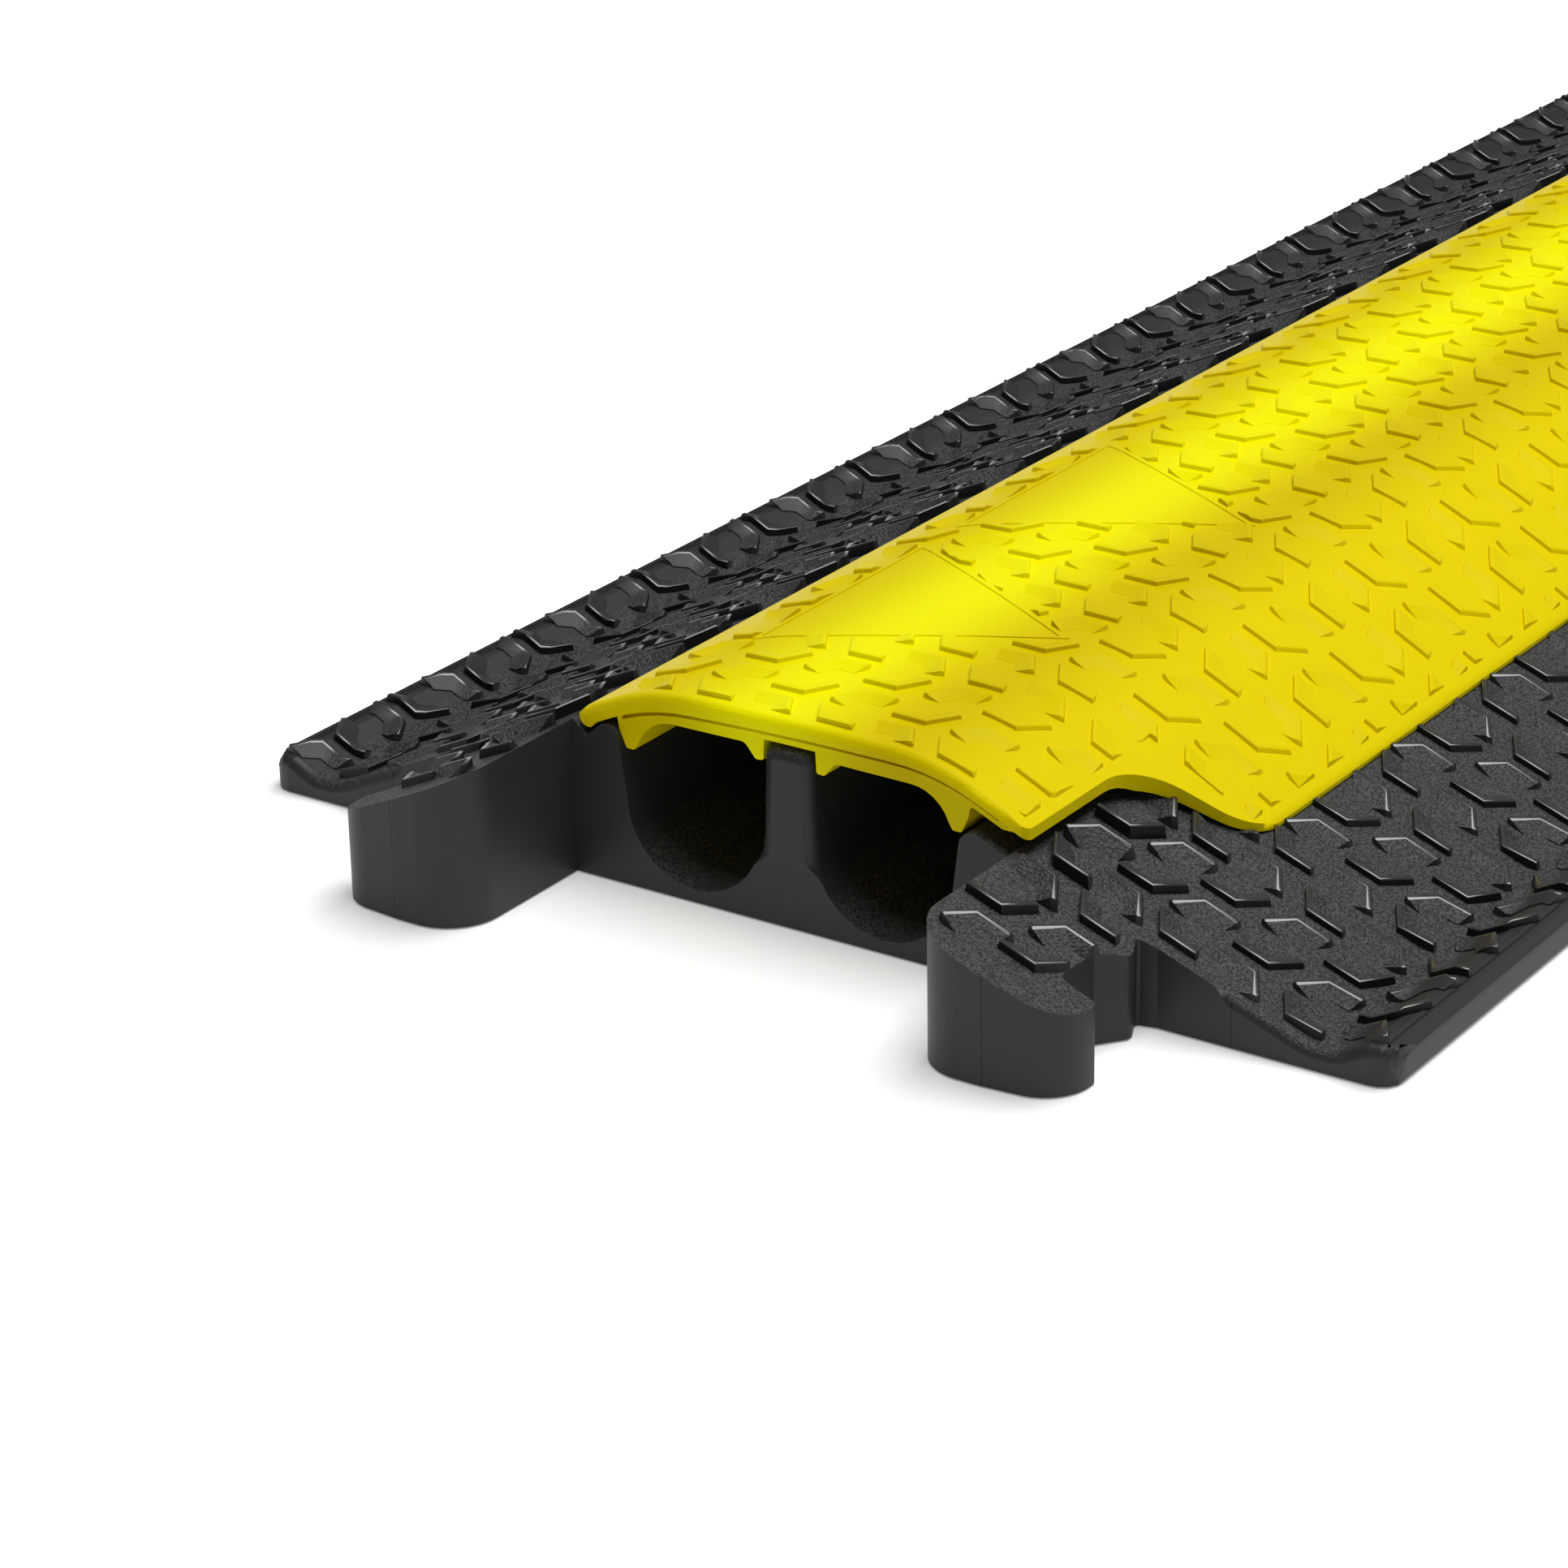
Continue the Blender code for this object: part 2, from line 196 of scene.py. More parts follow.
grain_up = grain.nodes.new("ShaderNodeSeparateXYZ")
grain.links.new(grain_face.outputs["True Normal"], grain_up.inputs[0])
grain_level = grain.nodes.new("ShaderNodeMapRange")
grain_level.inputs["From Min"].default_value = 0.45
grain_level.inputs["From Max"].default_value = 0.80
grain.links.new(grain_up.outputs["Z"], grain_level.inputs["Value"])
grain.links.new(grain_level.outputs["Result"], grain_out.inputs["Upward"])

rubber, rubber_nodes, rubber_links, rubber_shader = finish_material("black_rubber")
rubber_grain = rubber_nodes.new("ShaderNodeGroup")
rubber_grain.node_tree = grain
rubber_grain.inputs["Grain Size"].default_value = 0.00060
rubber_place = rubber_nodes.new("ShaderNodeTexCoord")
rubber_axes = rubber_nodes.new("ShaderNodeSeparateXYZ")
rubber_links.new(rubber_place.outputs["Object"], rubber_axes.inputs[0])
rubber_away = rubber_nodes.new("ShaderNodeMath")
rubber_away.operation = "ABSOLUTE"
rubber_links.new(rubber_axes.outputs["Y"], rubber_away.inputs[0])
rubber_inside_rim = rubber_nodes.new("ShaderNodeMapRange")
rubber_inside_rim.inputs["From Min"].default_value = 0.1350
rubber_inside_rim.inputs["From Max"].default_value = 0.1310
rubber_links.new(rubber_away.outputs[0], rubber_inside_rim.inputs["Value"])
rubber_stippled = rubber_nodes.new("ShaderNodeMath")
rubber_stippled.operation = "MULTIPLY"
rubber_links.new(rubber_grain.outputs["Upward"], rubber_stippled.inputs[0])
rubber_links.new(rubber_inside_rim.outputs["Result"], rubber_stippled.inputs[1])
rubber_speckle = rubber_nodes.new("ShaderNodeValToRGB")
rubber_speckle.color_ramp.elements[0].position = 0.40
rubber_speckle.color_ramp.elements[0].color = (0.016, 0.016, 0.0164, 1)
rubber_speckle.color_ramp.elements[1].position = 0.61
rubber_speckle.color_ramp.elements[1].color = (0.071, 0.071, 0.072, 1)
rubber_links.new(rubber_grain.outputs["Height"], rubber_speckle.inputs["Fac"])
rubber_level = rubber_nodes.new("ShaderNodeMix")
rubber_level.data_type = "RGBA"
rubber_level.inputs["A"].default_value = (0.025, 0.025, 0.026, 1)
rubber_links.new(rubber_stippled.outputs[0], rubber_level.inputs["Factor"])
rubber_links.new(rubber_speckle.outputs["Color"], rubber_level.inputs["B"])
rubber_rough = rubber_nodes.new("ShaderNodeMapRange")
rubber_rough.inputs["To Min"].default_value = 0.46
rubber_rough.inputs["To Max"].default_value = 0.52
rubber_links.new(rubber_stippled.outputs[0], rubber_rough.inputs["Value"])
rubber_links.new(rubber_rough.outputs["Result"], rubber_shader.inputs["Roughness"])
rubber_shader.inputs["Specular IOR Level"].default_value = 0.32
rubber_depth = rubber_nodes.new("ShaderNodeMath")
rubber_depth.operation = "MULTIPLY"
rubber_links.new(rubber_grain.outputs["Height"], rubber_depth.inputs[0])
rubber_links.new(rubber_stippled.outputs[0], rubber_depth.inputs[1])
rubber_bump = rubber_nodes.new("ShaderNodeBump")
rubber_bump.inputs["Strength"].default_value = 0.9
rubber_bump.inputs["Distance"].default_value = 0.0005
rubber_links.new(rubber_depth.outputs[0], rubber_bump.inputs["Height"])
rubber_links.new(rubber_bump.outputs["Normal"], rubber_shader.inputs["Normal"])

# Where two halves of the mould met, a hair-thin dark line runs down the upright walls
seam_mark = None
for place in SEAM_PLACES:
    near = rubber_nodes.new("ShaderNodeMath")
    near.operation = "COMPARE"
    near.inputs[1].default_value = place
    near.inputs[2].default_value = SEAM_WIDE
    rubber_links.new(rubber_away.outputs[0], near.inputs[0])
    if seam_mark is None:
        seam_mark = near
        continue
    either = rubber_nodes.new("ShaderNodeMath")
    either.operation = "MAXIMUM"
    rubber_links.new(seam_mark.outputs[0], either.inputs[0])
    rubber_links.new(near.outputs[0], either.inputs[1])
    seam_mark = either
seam_upright = rubber_nodes.new("ShaderNodeMath")
seam_upright.operation = "LESS_THAN"
seam_upright.inputs[1].default_value = 0.02
rubber_links.new(rubber_grain.outputs["Upward"], seam_upright.inputs[0])
seam_only = rubber_nodes.new("ShaderNodeMath")
seam_only.operation = "MULTIPLY"
rubber_links.new(seam_mark.outputs[0], seam_only.inputs[0])
rubber_links.new(seam_upright.outputs[0], seam_only.inputs[1])
seam_dark = rubber_nodes.new("ShaderNodeMix")
seam_dark.data_type = "RGBA"
seam_dark.inputs["B"].default_value = (0.004, 0.004, 0.004, 1)
rubber_links.new(seam_only.outputs[0], seam_dark.inputs["Factor"])
rubber_links.new(rubber_level.outputs["Result"], seam_dark.inputs["A"])
rubber_links.new(seam_dark.outputs["Result"], rubber_shader.inputs["Base Color"])


def soften(moulding, finish):
    """Gives a moulding its finish, and smooth shading but at creases and around its end faces."""
    moulding.data.materials.clear()
    moulding.data.materials.append(finish)
    bpy.ops.object.select_all(action="DESELECT")
    moulding.select_set(True)
    bpy.context.view_layer.objects.active = moulding
    bpy.ops.object.shade_smooth_by_angle(angle=CREASE)
    bpy.ops.object.mode_set(mode="EDIT")
    body = bmesh.from_edit_mesh(moulding.data)
    for face in body.faces:
        if abs(face.normal.x) > END_FACE_TURN and face.calc_area() > END_FACE_AREA:
            for edge in face.edges:
                edge.smooth = False
    bmesh.update_edit_mesh(moulding.data)
    bpy.ops.object.mode_set(mode="OBJECT")
    apply_step(moulding, "WEIGHTED_NORMAL", keep_sharp=True)


# A second copy of the base gives its tread an outline
base_plan = moulding_from("base", "base_plan")
base_moulding = moulding_from("base", "base_moulding")
soften(base_moulding, rubber)
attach(base_moulding, "base")
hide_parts("base")

# The ramps' tread is raised chevrons, moulded with the base, in rows along the cover.
# Each has a steep wall outside its bend, a narrow polished ridge, and a long slope down inside.
HALF_BEND = radians(60)
ARM = 0.0090
ARM_LEAN = 0.0005
ARM_TAPER = 0.0018
CHEVRON_WIDE = 0.0047
WALL_LEAN = 0.0004
RIDGE_WIDE = 0.0010
SINK = 0.0010
HAIR = 0.00001
CUT_TOP = 0.02
CUT_BOTTOM = -0.01

BASE_PERIOD = 0.0489
BASE_COUNT = 20
BASE_EDGE_ROUND = 0.00032
CORNER_RISE = 0.0048
PLAN_INSET = 0.0001
PLAN_TALL = 0.08

# What the tread lies on: the ramps' slopes, the valley at their foot, and the rim with its round edge
FOOT_AWAY = 0.1253
FOOT_Z = 0.0050
FRONT_SLOPE = 0.3792
BACK_SLOPE = 0.4544
VALLEY_AWAY = 0.1320
VALLEY_BED_Z = 0.0054
RIM_RUN = 0.0065
RIM_RISE = 0.0033
RIM_MIDDLE = 0.1415
RIM_ROUND = 0.0035
RIM_CUTS = (VALLEY_AWAY, 0.1350, VALLEY_AWAY + RIM_RUN, RIM_MIDDLE, 0.1430, 0.1441)

# Where the lid's flange covers the front ramp
COVER_START = 0.0540
COVER_FRONT_Y = -0.0860
COVER_BACK_Y = -0.0500
COVER_SPREAD_Y = -0.0600
COVER_SPREAD = 0.0130

ridge_rubber, ridge_nodes, ridge_links, ridge_shader = finish_material("ridge_rubber")
ridge_grain = ridge_nodes.new("ShaderNodeGroup")
ridge_grain.node_tree = grain
ridge_grain.inputs["Patch Size"].default_value = 0.012
ridge_rough = ridge_nodes.new("ShaderNodeMapRange")
ridge_rough.inputs["To Min"].default_value = 0.14
ridge_rough.inputs["To Max"].default_value = 0.30
ridge_links.new(ridge_grain.outputs["Patches"], ridge_rough.inputs["Value"])
ridge_links.new(ridge_rough.outputs["Result"], ridge_shader.inputs["Roughness"])
ridge_shader.inputs["Base Color"].default_value = (0.030, 0.030, 0.031, 1)
ridge_shader.inputs["Specular IOR Level"].default_value = 1.0

# The chevrons' outer walls are painted darker than the rubber, painted shade where they face down the
# ramp, varied in patches of random tone
painted_shade_rubber, wall_nodes, wall_links, wall_shader = finish_material("painted_shade_rubber")
wall_grain = wall_nodes.new("ShaderNodeGroup")
wall_grain.node_tree = grain
wall_grain.inputs["Patch Size"].default_value = 0.010
wall_painted_shade = wall_nodes.new("ShaderNodeValToRGB")
wall_painted_shade.color_ramp.elements[0].color = (0.004, 0.004, 0.0042, 1)
wall_painted_shade.color_ramp.elements[1].color = (0.013, 0.013, 0.0135, 1)
wall_links.new(wall_grain.outputs["Patches"], wall_painted_shade.inputs["Fac"])
wall_links.new(wall_painted_shade.outputs["Color"], wall_shader.inputs["Base Color"])
wall_shader.inputs["Roughness"].default_value = 0.45
wall_shader.inputs["Specular IOR Level"].default_value = 0.25

# Where the chevrons of one period stand along a row: turn in degrees, place, and how far up the row
FACING_PAIRS = (
    (150, 0.0113, 0),
    (30, 0.0149, 0),
    (210, 0.0356, CORNER_RISE),
    (-30, 0.0391, CORNER_RISE),
)
SLANTED_PAIRS = (
    (-30, 0.0035, CORNER_RISE),
    (210, 0.0228, CORNER_RISE),
    (30, 0.0273, 0),
    (150, 0.0476, 0),
)
KNOB_ROOT_PAIR = ((150, -0.0013, 0),)
KNOB_INNER_PAIRS = ((210, -0.0255, 0.0046), (30, -0.0205, 0.0020))
KNOB_OUTER_PAIRS = ((30, -0.0305, 0.0007), (210, -0.0125, 0.0044), (-30, -0.0075, 0.0044))


def pick(wanted):
    """In edit mode, selects only the vertices that wanted(place) picks."""
    body = bmesh.from_edit_mesh(bpy.context.object.data)
    for item in [*body.faces, *body.edges, *body.verts]:
        item.select = False
    for vert in body.verts:
        vert.select = wanted(vert.co)
    body.select_flush(True)
    bmesh.update_edit_mesh(bpy.context.object.data)


def chevron(height, edge_round, surface_materials):
    """One chevron that opens towards +X, from a bar that is shaped and mirrored.

    Its surface materials are those of the slope, the outer wall, painted darker as painted shade, and
    the ridge.
    """
    bpy.ops.object.select_all(action="DESELECT")
    bpy.ops.mesh.primitive_cube_add(size=1)
    bar = bpy.context.object
    bar.location = (ARM / 2, -CHEVRON_WIDE / 2, (height - SINK) / 2)
    bar.scale = (ARM, CHEVRON_WIDE, height + SINK)
    bpy.ops.object.transform_apply()
    for finish in surface_materials:
        bar.data.materials.append(finish)
    bpy.ops.object.mode_set(mode="EDIT")
    bpy.ops.mesh.select_all(action="SELECT")
    bpy.ops.mesh.bisect(plane_co=(0, -WALL_LEAN - RIDGE_WIDE, 0), plane_no=(0, 1, 0))
    pick(lambda co: co.z > height - HAIR and co.y < -CHEVRON_WIDE + HAIR)
    bpy.ops.transform.translate(value=(0, 0, -height))
    pick(lambda co: co.z > height - HAIR and co.y > -HAIR)
    bpy.ops.transform.translate(value=(0, -WALL_LEAN, 0))
    pick(lambda co: co.z > height - HAIR and co.x > ARM - HAIR)
    bpy.ops.transform.translate(value=(-ARM_LEAN, 0, 0))
    pick(lambda co: co.x > ARM - HAIR and co.y < -CHEVRON_WIDE + HAIR)
    bpy.ops.transform.translate(value=(-ARM_TAPER, 0, 0))
    pick(lambda co: co.z > height - HAIR)
    bpy.ops.mesh.bevel(offset=edge_round, segments=2, affect="EDGES")
    # The outer walls take the second material, with its painted shade
    pick(lambda co: co.y > -WALL_LEAN - HAIR)
    bar.active_material_index = 1
    bpy.ops.object.material_slot_assign()
    pick(lambda co: co.z > height - 1.5 * edge_round)
    bar.active_material_index = 2
    bpy.ops.object.material_slot_assign()
    bpy.ops.object.mode_set(mode="OBJECT")
    bar.rotation_euler = (0, 0, HALF_BEND)
    bpy.ops.object.transform_apply()
    across = (False, True, False)
    apply_step(bar, "MIRROR", use_axis=across, use_bisect_axis=across, merge_threshold=2 * HAIR)
    bpy.ops.object.mode_set(mode="EDIT")
    pick(lambda co: abs(co.y) < HAIR)
    bpy.ops.mesh.delete(type="ONLY_FACE")
    bpy.ops.mesh.select_all(action="SELECT")
    bpy.ops.mesh.delete_loose()
    bpy.ops.object.mode_set(mode="OBJECT")
    return bar


def tread_row(name, pattern, period, pairs, low, first, count):
    """A row of copies of the pattern, flat on z = 0, from first on, with its bends at low and above."""
    members = []
    for turn, place, rise in pairs:
        bpy.ops.object.select_all(action="DESELECT")
        pattern.select_set(True)
        bpy.context.view_layer.objects.active = pattern
        bpy.ops.object.duplicate()
        member = bpy.context.object
        member.rotation_euler = (0, 0, radians(turn))
        member.location = (first + place, low + rise, 0)
        bpy.ops.object.transform_apply()
        members.append(member)
    bpy.data.objects.remove(pattern)
    bpy.ops.object.select_all(action="DESELECT")
    for member in members:
        member.select_set(True)
    if len(members) > 1:
        bpy.ops.object.join()
    row = bpy.context.object
    row.name = name
    apply_step(
        row,
        "ARRAY",
        use_relative_offset=False,
        use_constant_offset=True,
        constant_offset_displace=(period, 0, 0),
        count=count,
    )
    return row


def settle(row, surface):
    """Lifts every point of a flat row by the height of the surface below it."""
    for vert in row.data.vertices:
        vert.co.z += surface(vert.co.y)


def rim_bed(away):
    """Height of the tread's bed in the valley, on the rim and over its edge, at a distance sideways."""
    if away > RIM_MIDDLE:
        return VALLEY_BED_Z + RIM_RISE - RIM_ROUND + sqrt(RIM_ROUND ** 2 - (away - RIM_MIDDLE) ** 2)
    return VALLEY_BED_Z + RIM_RISE * min(1.0, max(0.0, (away - VALLEY_AWAY) / RIM_RUN))


def front_surface(y):
    """Height of the front ramp at y, and of the bed beyond its foot."""
    return max(rim_bed(-y), FOOT_Z + FRONT_SLOPE * (FOOT_AWAY + y))


def back_surface(y):
    """Height of the back ramp at y, which is steeper, and of the bed beyond its foot."""
    return max(rim_bed(y), FOOT_Z + BACK_SLOPE * (FOOT_AWAY - y))


# Upright walls just inside the base's own outline, to cut the rows to its plan
bpy.ops.object.select_all(action="DESELECT")
base_plan.select_set(True)
bpy.context.view_layer.objects.active = base_plan
bpy.ops.object.mode_set(mode="EDIT")
pick(lambda co: co.z > HAIR)
bpy.ops.mesh.delete(type="VERT")
bpy.ops.mesh.select_all(action="SELECT")
bpy.ops.mesh.inset(thickness=PLAN_INSET)
bpy.ops.mesh.select_all(action="INVERT")
bpy.ops.mesh.delete(type="VERT")
bpy.ops.mesh.select_all(action="SELECT")
bpy.ops.mesh.extrude_region_move(TRANSFORM_OT_translate={"value": (0, 0, PLAN_TALL)})
bpy.ops.mesh.select_all(action="SELECT")
bpy.ops.mesh.normals_make_consistent(inside=False)
bpy.ops.transform.translate(value=(0, 0, -PLAN_TALL / 4))
bpy.ops.object.mode_set(mode="OBJECT")


def block(name, low, high):
    """A box from its low corner to its high corner, to cut rows with."""
    bpy.ops.object.select_all(action="DESELECT")
    bpy.ops.mesh.primitive_cube_add(size=1)
    made = bpy.context.object
    made.name = name
    made.location = [(a + b) / 2 for a, b in zip(low, high)]
    made.scale = [b - a for a, b in zip(low, high)]
    bpy.ops.object.transform_apply()
    return made


# The front tread ends where the lid's flange covers the ramp, with its curve at both ends
flange_cover = block(
    "flange_cover",
    (NEAR_END + COVER_START, COVER_FRONT_Y, CUT_BOTTOM),
    (FAR_END - COVER_START, COVER_BACK_Y, CUT_TOP),
)
bpy.ops.object.mode_set(mode="EDIT")
pick(lambda co: co.y > COVER_SPREAD_Y and co.x < 0)
bpy.ops.transform.translate(value=(-COVER_SPREAD, 0, 0))
pick(lambda co: co.y > COVER_SPREAD_Y and co.x > 0)
bpy.ops.transform.translate(value=(COVER_SPREAD, 0, 0))
bpy.ops.object.mode_set(mode="OBJECT")

# Each row: its chevrons, the place of its lower bends, their height, and how often the period repeats
FRONT_ROWS = (
    ("q0", SLANTED_PAIRS, -0.0685, 0.0030, BASE_COUNT),
    ("p0", FACING_PAIRS, -0.0812, 0.0020, BASE_COUNT),
    ("q1", SLANTED_PAIRS, -0.0939, 0.0016, BASE_COUNT),
    ("p1", FACING_PAIRS, -0.1086, 0.0015, BASE_COUNT),
    ("q2", SLANTED_PAIRS, -0.1231, 0.0015, BASE_COUNT),
    ("p2", FACING_PAIRS, -0.1378, 0.0015, BASE_COUNT),
    ("knob_root", KNOB_ROOT_PAIR, -0.0685, 0.0030, 1),
    ("knob_inner", KNOB_INNER_PAIRS, -0.0685, 0.0022, 1),
    ("knob_outer", KNOB_OUTER_PAIRS, -0.0812, 0.0019, 1),
)
front_rows = []
back_rows = []
for row_name, pairs, low, height, count in FRONT_ROWS:
    pattern = chevron(height, BASE_EDGE_ROUND, (rubber, painted_shade_rubber, ridge_rubber))
    row = tread_row("front_tread_" + row_name, pattern, BASE_PERIOD, pairs, low, NEAR_END, count)
    apply_step(row, "BOOLEAN", object=base_plan, operation="INTERSECT", solver="EXACT")
    if row_name == "p2":
        bpy.ops.object.mode_set(mode="EDIT")
        for away in RIM_CUTS:
            bpy.ops.mesh.select_all(action="SELECT")
            bpy.ops.mesh.bisect(plane_co=(0, -away, 0), plane_no=(0, 1, 0))
        bpy.ops.object.mode_set(mode="OBJECT")
    front_rows.append(row)
for row in front_rows:
    bpy.ops.object.select_all(action="DESELECT")
    row.select_set(True)
    bpy.context.view_layer.objects.active = row
    bpy.ops.object.duplicate()
    behind = bpy.context.object
    behind.scale = (1, -1, 1)
    bpy.ops.object.transform_apply()
    settle(behind, back_surface)
    back_rows.append(behind)
    if min(vert.co.y for vert in row.data.vertices) > COVER_FRONT_Y:
        apply_step(row, "BOOLEAN", object=flange_cover, operation="DIFFERENCE", solver="EXACT")
    settle(row, front_surface)
bpy.data.objects.remove(base_plan)
bpy.data.objects.remove(flange_cover)


def joined(rows, name):
    """The rows as one piece, with their faces turned outwards."""
    bpy.ops.object.select_all(action="DESELECT")
    for row in rows:
        row.select_set(True)
    bpy.context.view_layer.objects.active = rows[0]
    bpy.ops.object.join()
    whole = bpy.context.object
    whole.name = name
    bpy.ops.object.mode_set(mode="EDIT")
    bpy.ops.mesh.select_all(action="SELECT")
    bpy.ops.mesh.normals_make_consistent(inside=False)
    bpy.ops.object.mode_set(mode="OBJECT")
    bpy.ops.object.shade_smooth_by_angle(angle=CREASE)
    return whole


for rows, name in ((front_rows, "front_tread"), (back_rows, "back_tread")):
    tread = joined(rows, name)
    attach(tread, "base")

# The lid is one moulding in yellow plastic, an arch with a flange at the front and a bead at the back.
# It turns up about the bead. Its top is finely grained and half glossy. Its colour carries painted
# light: a painted highlight along the crown, and painted shade on the slopes.
ARCH_TOP = 0.0479
ARCH_ARCS = ((0.800, 0.027), (0.0504, 0.046), (0.351, 0.120))
PLATE_FRONT = 0.0026
PLATE_BACK = 0.0045
PLATE_SPAN = 0.050
GROOVE_IN = 0.0022
GROOVE_HALF = 0.0008
GROOVE_LOW = (-0.0520, -0.0012)
GROOVE_HIGH = (0.0440, 0.0002)
GROOVE_CUTS = 24

# Painted light and shade on the lid's colour, as red and green from its front edge, at 0, to its back
# edge, at 1, with a painted highlight along the crown
LID_PAINTED_LIGHT_TONES = (
    (0.05, (0.78, 0.63)),
    (0.20, (0.63, 0.49)),
    (0.31, (0.66, 0.51)),
    (0.44, (0.84, 0.76)),
    (0.54, (0.93, 0.88)),
    (0.66, (0.90, 0.84)),
    (0.80, (0.66, 0.53)),
    (0.92, (0.76, 0.60)),
)

lid_moulding = moulding_from("lid", "lid_moulding")
plastic, plastic_nodes, plastic_links, plastic_shader = finish_material("yellow_plastic")
plastic_grain = plastic_nodes.new("ShaderNodeGroup")
plastic_grain.node_tree = grain
plastic_grain.inputs["Grain Size"].default_value = 0.00050
plastic_grain.inputs["Patch Size"].default_value = 0.060
plastic_place = plastic_nodes.new("ShaderNodeTexCoord")
plastic_axes = plastic_nodes.new("ShaderNodeSeparateXYZ")
plastic_links.new(plastic_place.outputs["Object"], plastic_axes.inputs[0])
plastic_across = plastic_nodes.new("ShaderNodeMapRange")
plastic_across.inputs["From Min"].default_value = -PLATE_SPAN
plastic_across.inputs["From Max"].default_value = PLATE_SPAN
plastic_links.new(plastic_axes.outputs["Y"], plastic_across.inputs["Value"])
# The lid's base colour across its width is painted light and shade, brightest along the crown as a
# painted highlight
plastic_painted_light = plastic_nodes.new("ShaderNodeValToRGB")
plastic_painted_light.color_ramp.interpolation = "B_SPLINE"
for position, (red, green) in LID_PAINTED_LIGHT_TONES[1:-1]:
    plastic_painted_light.color_ramp.elements.new(position).color = (red, green, 0, 1)
for element, (position, (red, green)) in zip((0, -1), (LID_PAINTED_LIGHT_TONES[0], LID_PAINTED_LIGHT_TONES[-1])):
    plastic_painted_light.color_ramp.elements[element].position = position
    plastic_painted_light.color_ramp.elements[element].color = (red, green, 0, 1)
plastic_links.new(plastic_across.outputs["Result"], plastic_painted_light.inputs["Fac"])
plastic_patches = plastic_nodes.new("ShaderNodeMapRange")
plastic_patches.inputs["To Min"].default_value = 0.98
plastic_patches.inputs["To Max"].default_value = 1.02
plastic_links.new(plastic_grain.outputs["Patches"], plastic_patches.inputs["Value"])
plastic_shade = plastic_nodes.new("ShaderNodeHueSaturation")
plastic_links.new(plastic_painted_light.outputs["Color"], plastic_shade.inputs["Color"])
plastic_links.new(plastic_patches.outputs["Result"], plastic_shade.inputs["Value"])
plastic_links.new(plastic_shade.outputs["Color"], plastic_shader.inputs["Base Color"])
plastic_bump = plastic_nodes.new("ShaderNodeBump")
plastic_bump.inputs["Strength"].default_value = 0.35
plastic_bump.inputs["Distance"].default_value = 0.0002
plastic_links.new(plastic_grain.outputs["Height"], plastic_bump.inputs["Height"])
plastic_links.new(plastic_bump.outputs["Normal"], plastic_shader.inputs["Normal"])
plastic_shader.inputs["Roughness"].default_value = 0.42
plastic_shader.inputs["Specular IOR Level"].default_value = 0.12
plastic_shader.inputs["Specular Tint"].default_value = (1.0, 0.85, 0.1, 1)


def arch_surface(y):
    """Height of the lid's top at y, along arcs of a radius that each reach out to a distance."""
    centre_y, centre_z, before, lean = 0.0, ARCH_TOP, 0.0, 0.0
    for radius, reach in ARCH_ARCS:
        centre_y += (before - radius) * sin(lean)
        centre_z += (before - radius) * cos(lean)
        if abs(y) <= reach:
            break
        lean = asin((reach - centre_y) / radius)
        before = radius
    return centre_z + sqrt(radius * radius - (abs(y) - centre_y) ** 2)


def seam_height(y):
    """Height at y of the seam below the lid's upper plate, which is thicker towards the hinge."""
    across = min(1.0, max(0.0, (y + PLATE_SPAN) / (2 * PLATE_SPAN)))
    return arch_surface(y) - PLATE_FRONT - (PLATE_BACK - PLATE_FRONT) * across


# At both ends a groove runs below the upper plate, where the mould was parted
for end_x in (NEAR_END + GROOVE_IN, FAR_END - GROOVE_IN):
    groove = block("end_groove", (end_x - GROOVE_HALF, *GROOVE_LOW), (end_x + GROOVE_HALF, *GROOVE_HIGH))
    bpy.ops.object.mode_set(mode="EDIT")
    bpy.ops.mesh.select_all(action="SELECT")
    bpy.ops.mesh.subdivide(number_cuts=GROOVE_CUTS)
    bpy.ops.object.mode_set(mode="OBJECT")
    settle(groove, seam_height)
    apply_step(lid_moulding, "BOOLEAN", object=groove, operation="DIFFERENCE", solver="EXACT")
    bpy.data.objects.remove(groove)
soften(lid_moulding, plastic)
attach(lid_moulding, "lid")
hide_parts("lid")

# The lid's tread is the same chevrons, lower and softer, moulded with the lid.
# It stops short of the lid's edges and leaves two triangles bare, each inside a thin raised line.
LID_PERIOD = 0.0483
LID_COUNT = 20
LID_FIRST = NEAR_END - 0.0003
LID_TREAD_HEIGHT = 0.0011
LID_EDGE_ROUND = 0.00040
LID_BARE = 0.0040
LID_TREAD_Y = (-0.0572, 0.0485)
FLANGE_BARE = 0.0545
FLANGE_TREAD_Y = (-0.0825, -0.0500)
TRIANGLE_PLACES = (NEAR_END + 0.0730, NEAR_END + 0.1575)
TRIANGLE_Y = 0.0146
TRIANGLE_REACH = 0.0404
TRIANGLE_LINE = 0.0012
LINE_BOTTOM = -0.0006
LINE_TALL = 0.0008
LINE_CUTS = 14

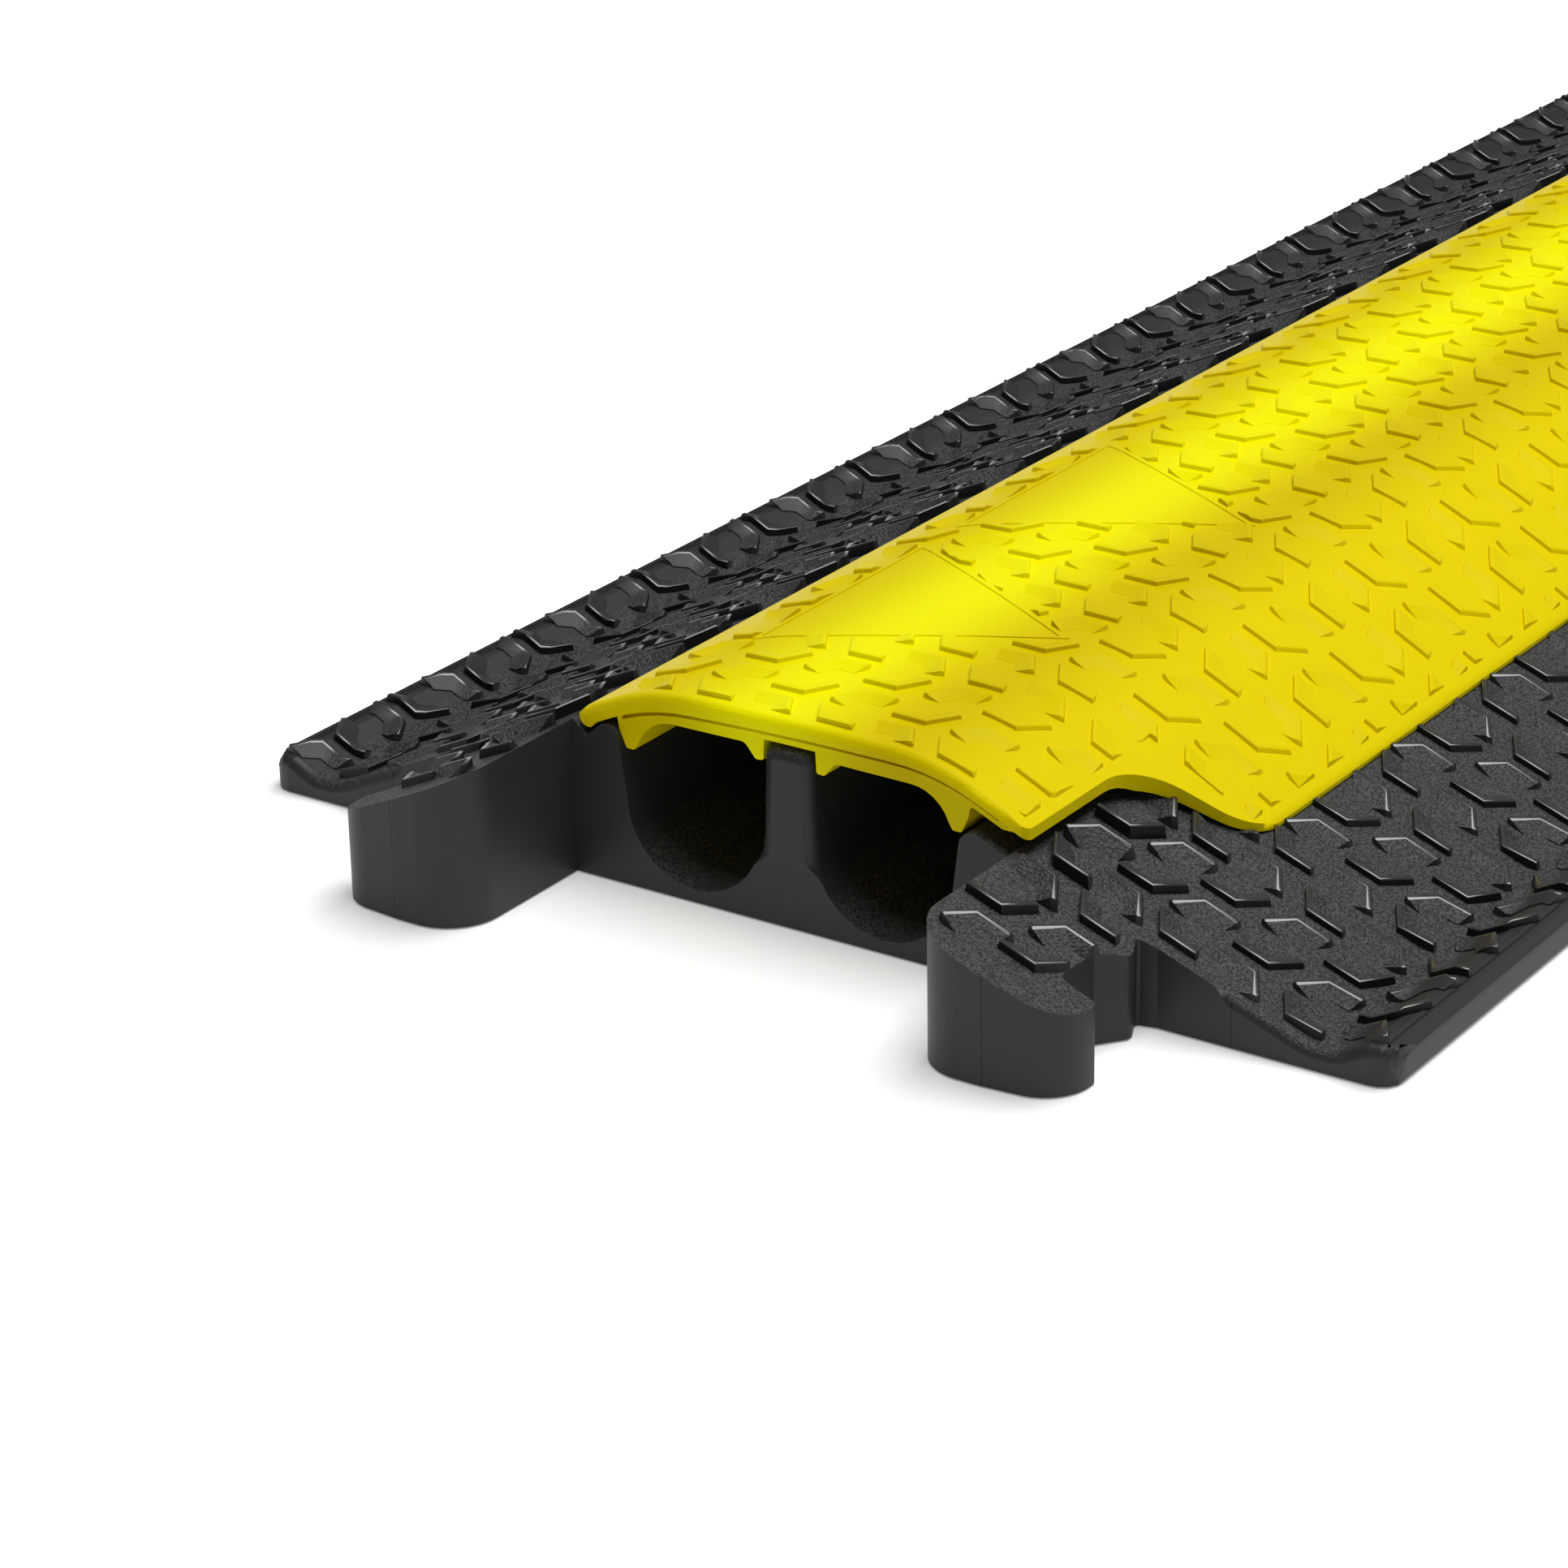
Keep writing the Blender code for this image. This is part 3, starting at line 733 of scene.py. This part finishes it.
lid_area = block(
    "lid_area",
    (NEAR_END + LID_BARE, LID_TREAD_Y[0], CUT_BOTTOM),
    (FAR_END - LID_BARE, LID_TREAD_Y[1], CUT_TOP),
)
flange_area = block(
    "flange_area",
    (NEAR_END + FLANGE_BARE, FLANGE_TREAD_Y[0], CUT_BOTTOM),
    (FAR_END - FLANGE_BARE, FLANGE_TREAD_Y[1], CUT_TOP),
)
apply_step(lid_area, "BOOLEAN", object=flange_area, operation="UNION", solver="EXACT")
bpy.data.objects.remove(flange_area)
triangle_lines = []
for middle in TRIANGLE_PLACES:
    bpy.ops.object.select_all(action="DESELECT")
    bare_reach = TRIANGLE_REACH + TRIANGLE_LINE
    bpy.ops.mesh.primitive_cylinder_add(vertices=3, radius=bare_reach, depth=2 * CUT_TOP)
    bare = bpy.context.object
    bare.location = (middle, TRIANGLE_Y, 0)
    bare.rotation_euler = (0, 0, pi)
    bpy.ops.object.transform_apply()
    apply_step(lid_area, "BOOLEAN", object=bare, operation="DIFFERENCE", solver="EXACT")
    bpy.data.objects.remove(bare)
    bpy.ops.object.select_all(action="DESELECT")
    bpy.ops.mesh.primitive_circle_add(vertices=3, radius=TRIANGLE_REACH, fill_type="NGON")
    line = bpy.context.object
    line.location = (middle, TRIANGLE_Y, LINE_BOTTOM)
    line.rotation_euler = (0, 0, pi)
    bpy.ops.object.transform_apply()
    line.data.materials.append(plastic)
    bpy.ops.object.mode_set(mode="EDIT")
    bpy.ops.mesh.select_all(action="SELECT")
    bpy.ops.mesh.inset(thickness=TRIANGLE_LINE)
    bpy.ops.mesh.delete(type="ONLY_FACE")
    bpy.ops.mesh.select_all(action="SELECT")
    bpy.ops.mesh.extrude_region_move(TRANSFORM_OT_translate={"value": (0, 0, LINE_TALL)})
    bpy.ops.mesh.select_all(action="SELECT")
    bpy.ops.mesh.subdivide(number_cuts=LINE_CUTS)
    bpy.ops.object.mode_set(mode="OBJECT")
    settle(line, arch_surface)
    triangle_lines.append(line)

LID_ROWS = (
    ("p5", FACING_PAIRS, -0.0878),
    ("q4", SLANTED_PAIRS, -0.0722),
    ("p3", FACING_PAIRS, -0.0567),
    ("q2", SLANTED_PAIRS, -0.0407),
    ("p1", FACING_PAIRS, -0.0259),
    ("q0", SLANTED_PAIRS, -0.0105),
    ("p6", FACING_PAIRS, 0.0050),
    ("q7", SLANTED_PAIRS, 0.0203),
    ("p8", FACING_PAIRS, 0.0358),
)
lid_rows = []
for row_name, pairs, low in LID_ROWS:
    pattern = chevron(LID_TREAD_HEIGHT, LID_EDGE_ROUND, (plastic, plastic, plastic))
    row = tread_row("lid_tread_" + row_name, pattern, LID_PERIOD, pairs, low, LID_FIRST, LID_COUNT)
    apply_step(row, "BOOLEAN", object=lid_area, operation="INTERSECT", solver="EXACT")
    settle(row, arch_surface)
    lid_rows.append(row)
bpy.data.objects.remove(lid_area)
lid_tread = joined(lid_rows + triangle_lines, "lid_tread")
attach(lid_tread, "lid")
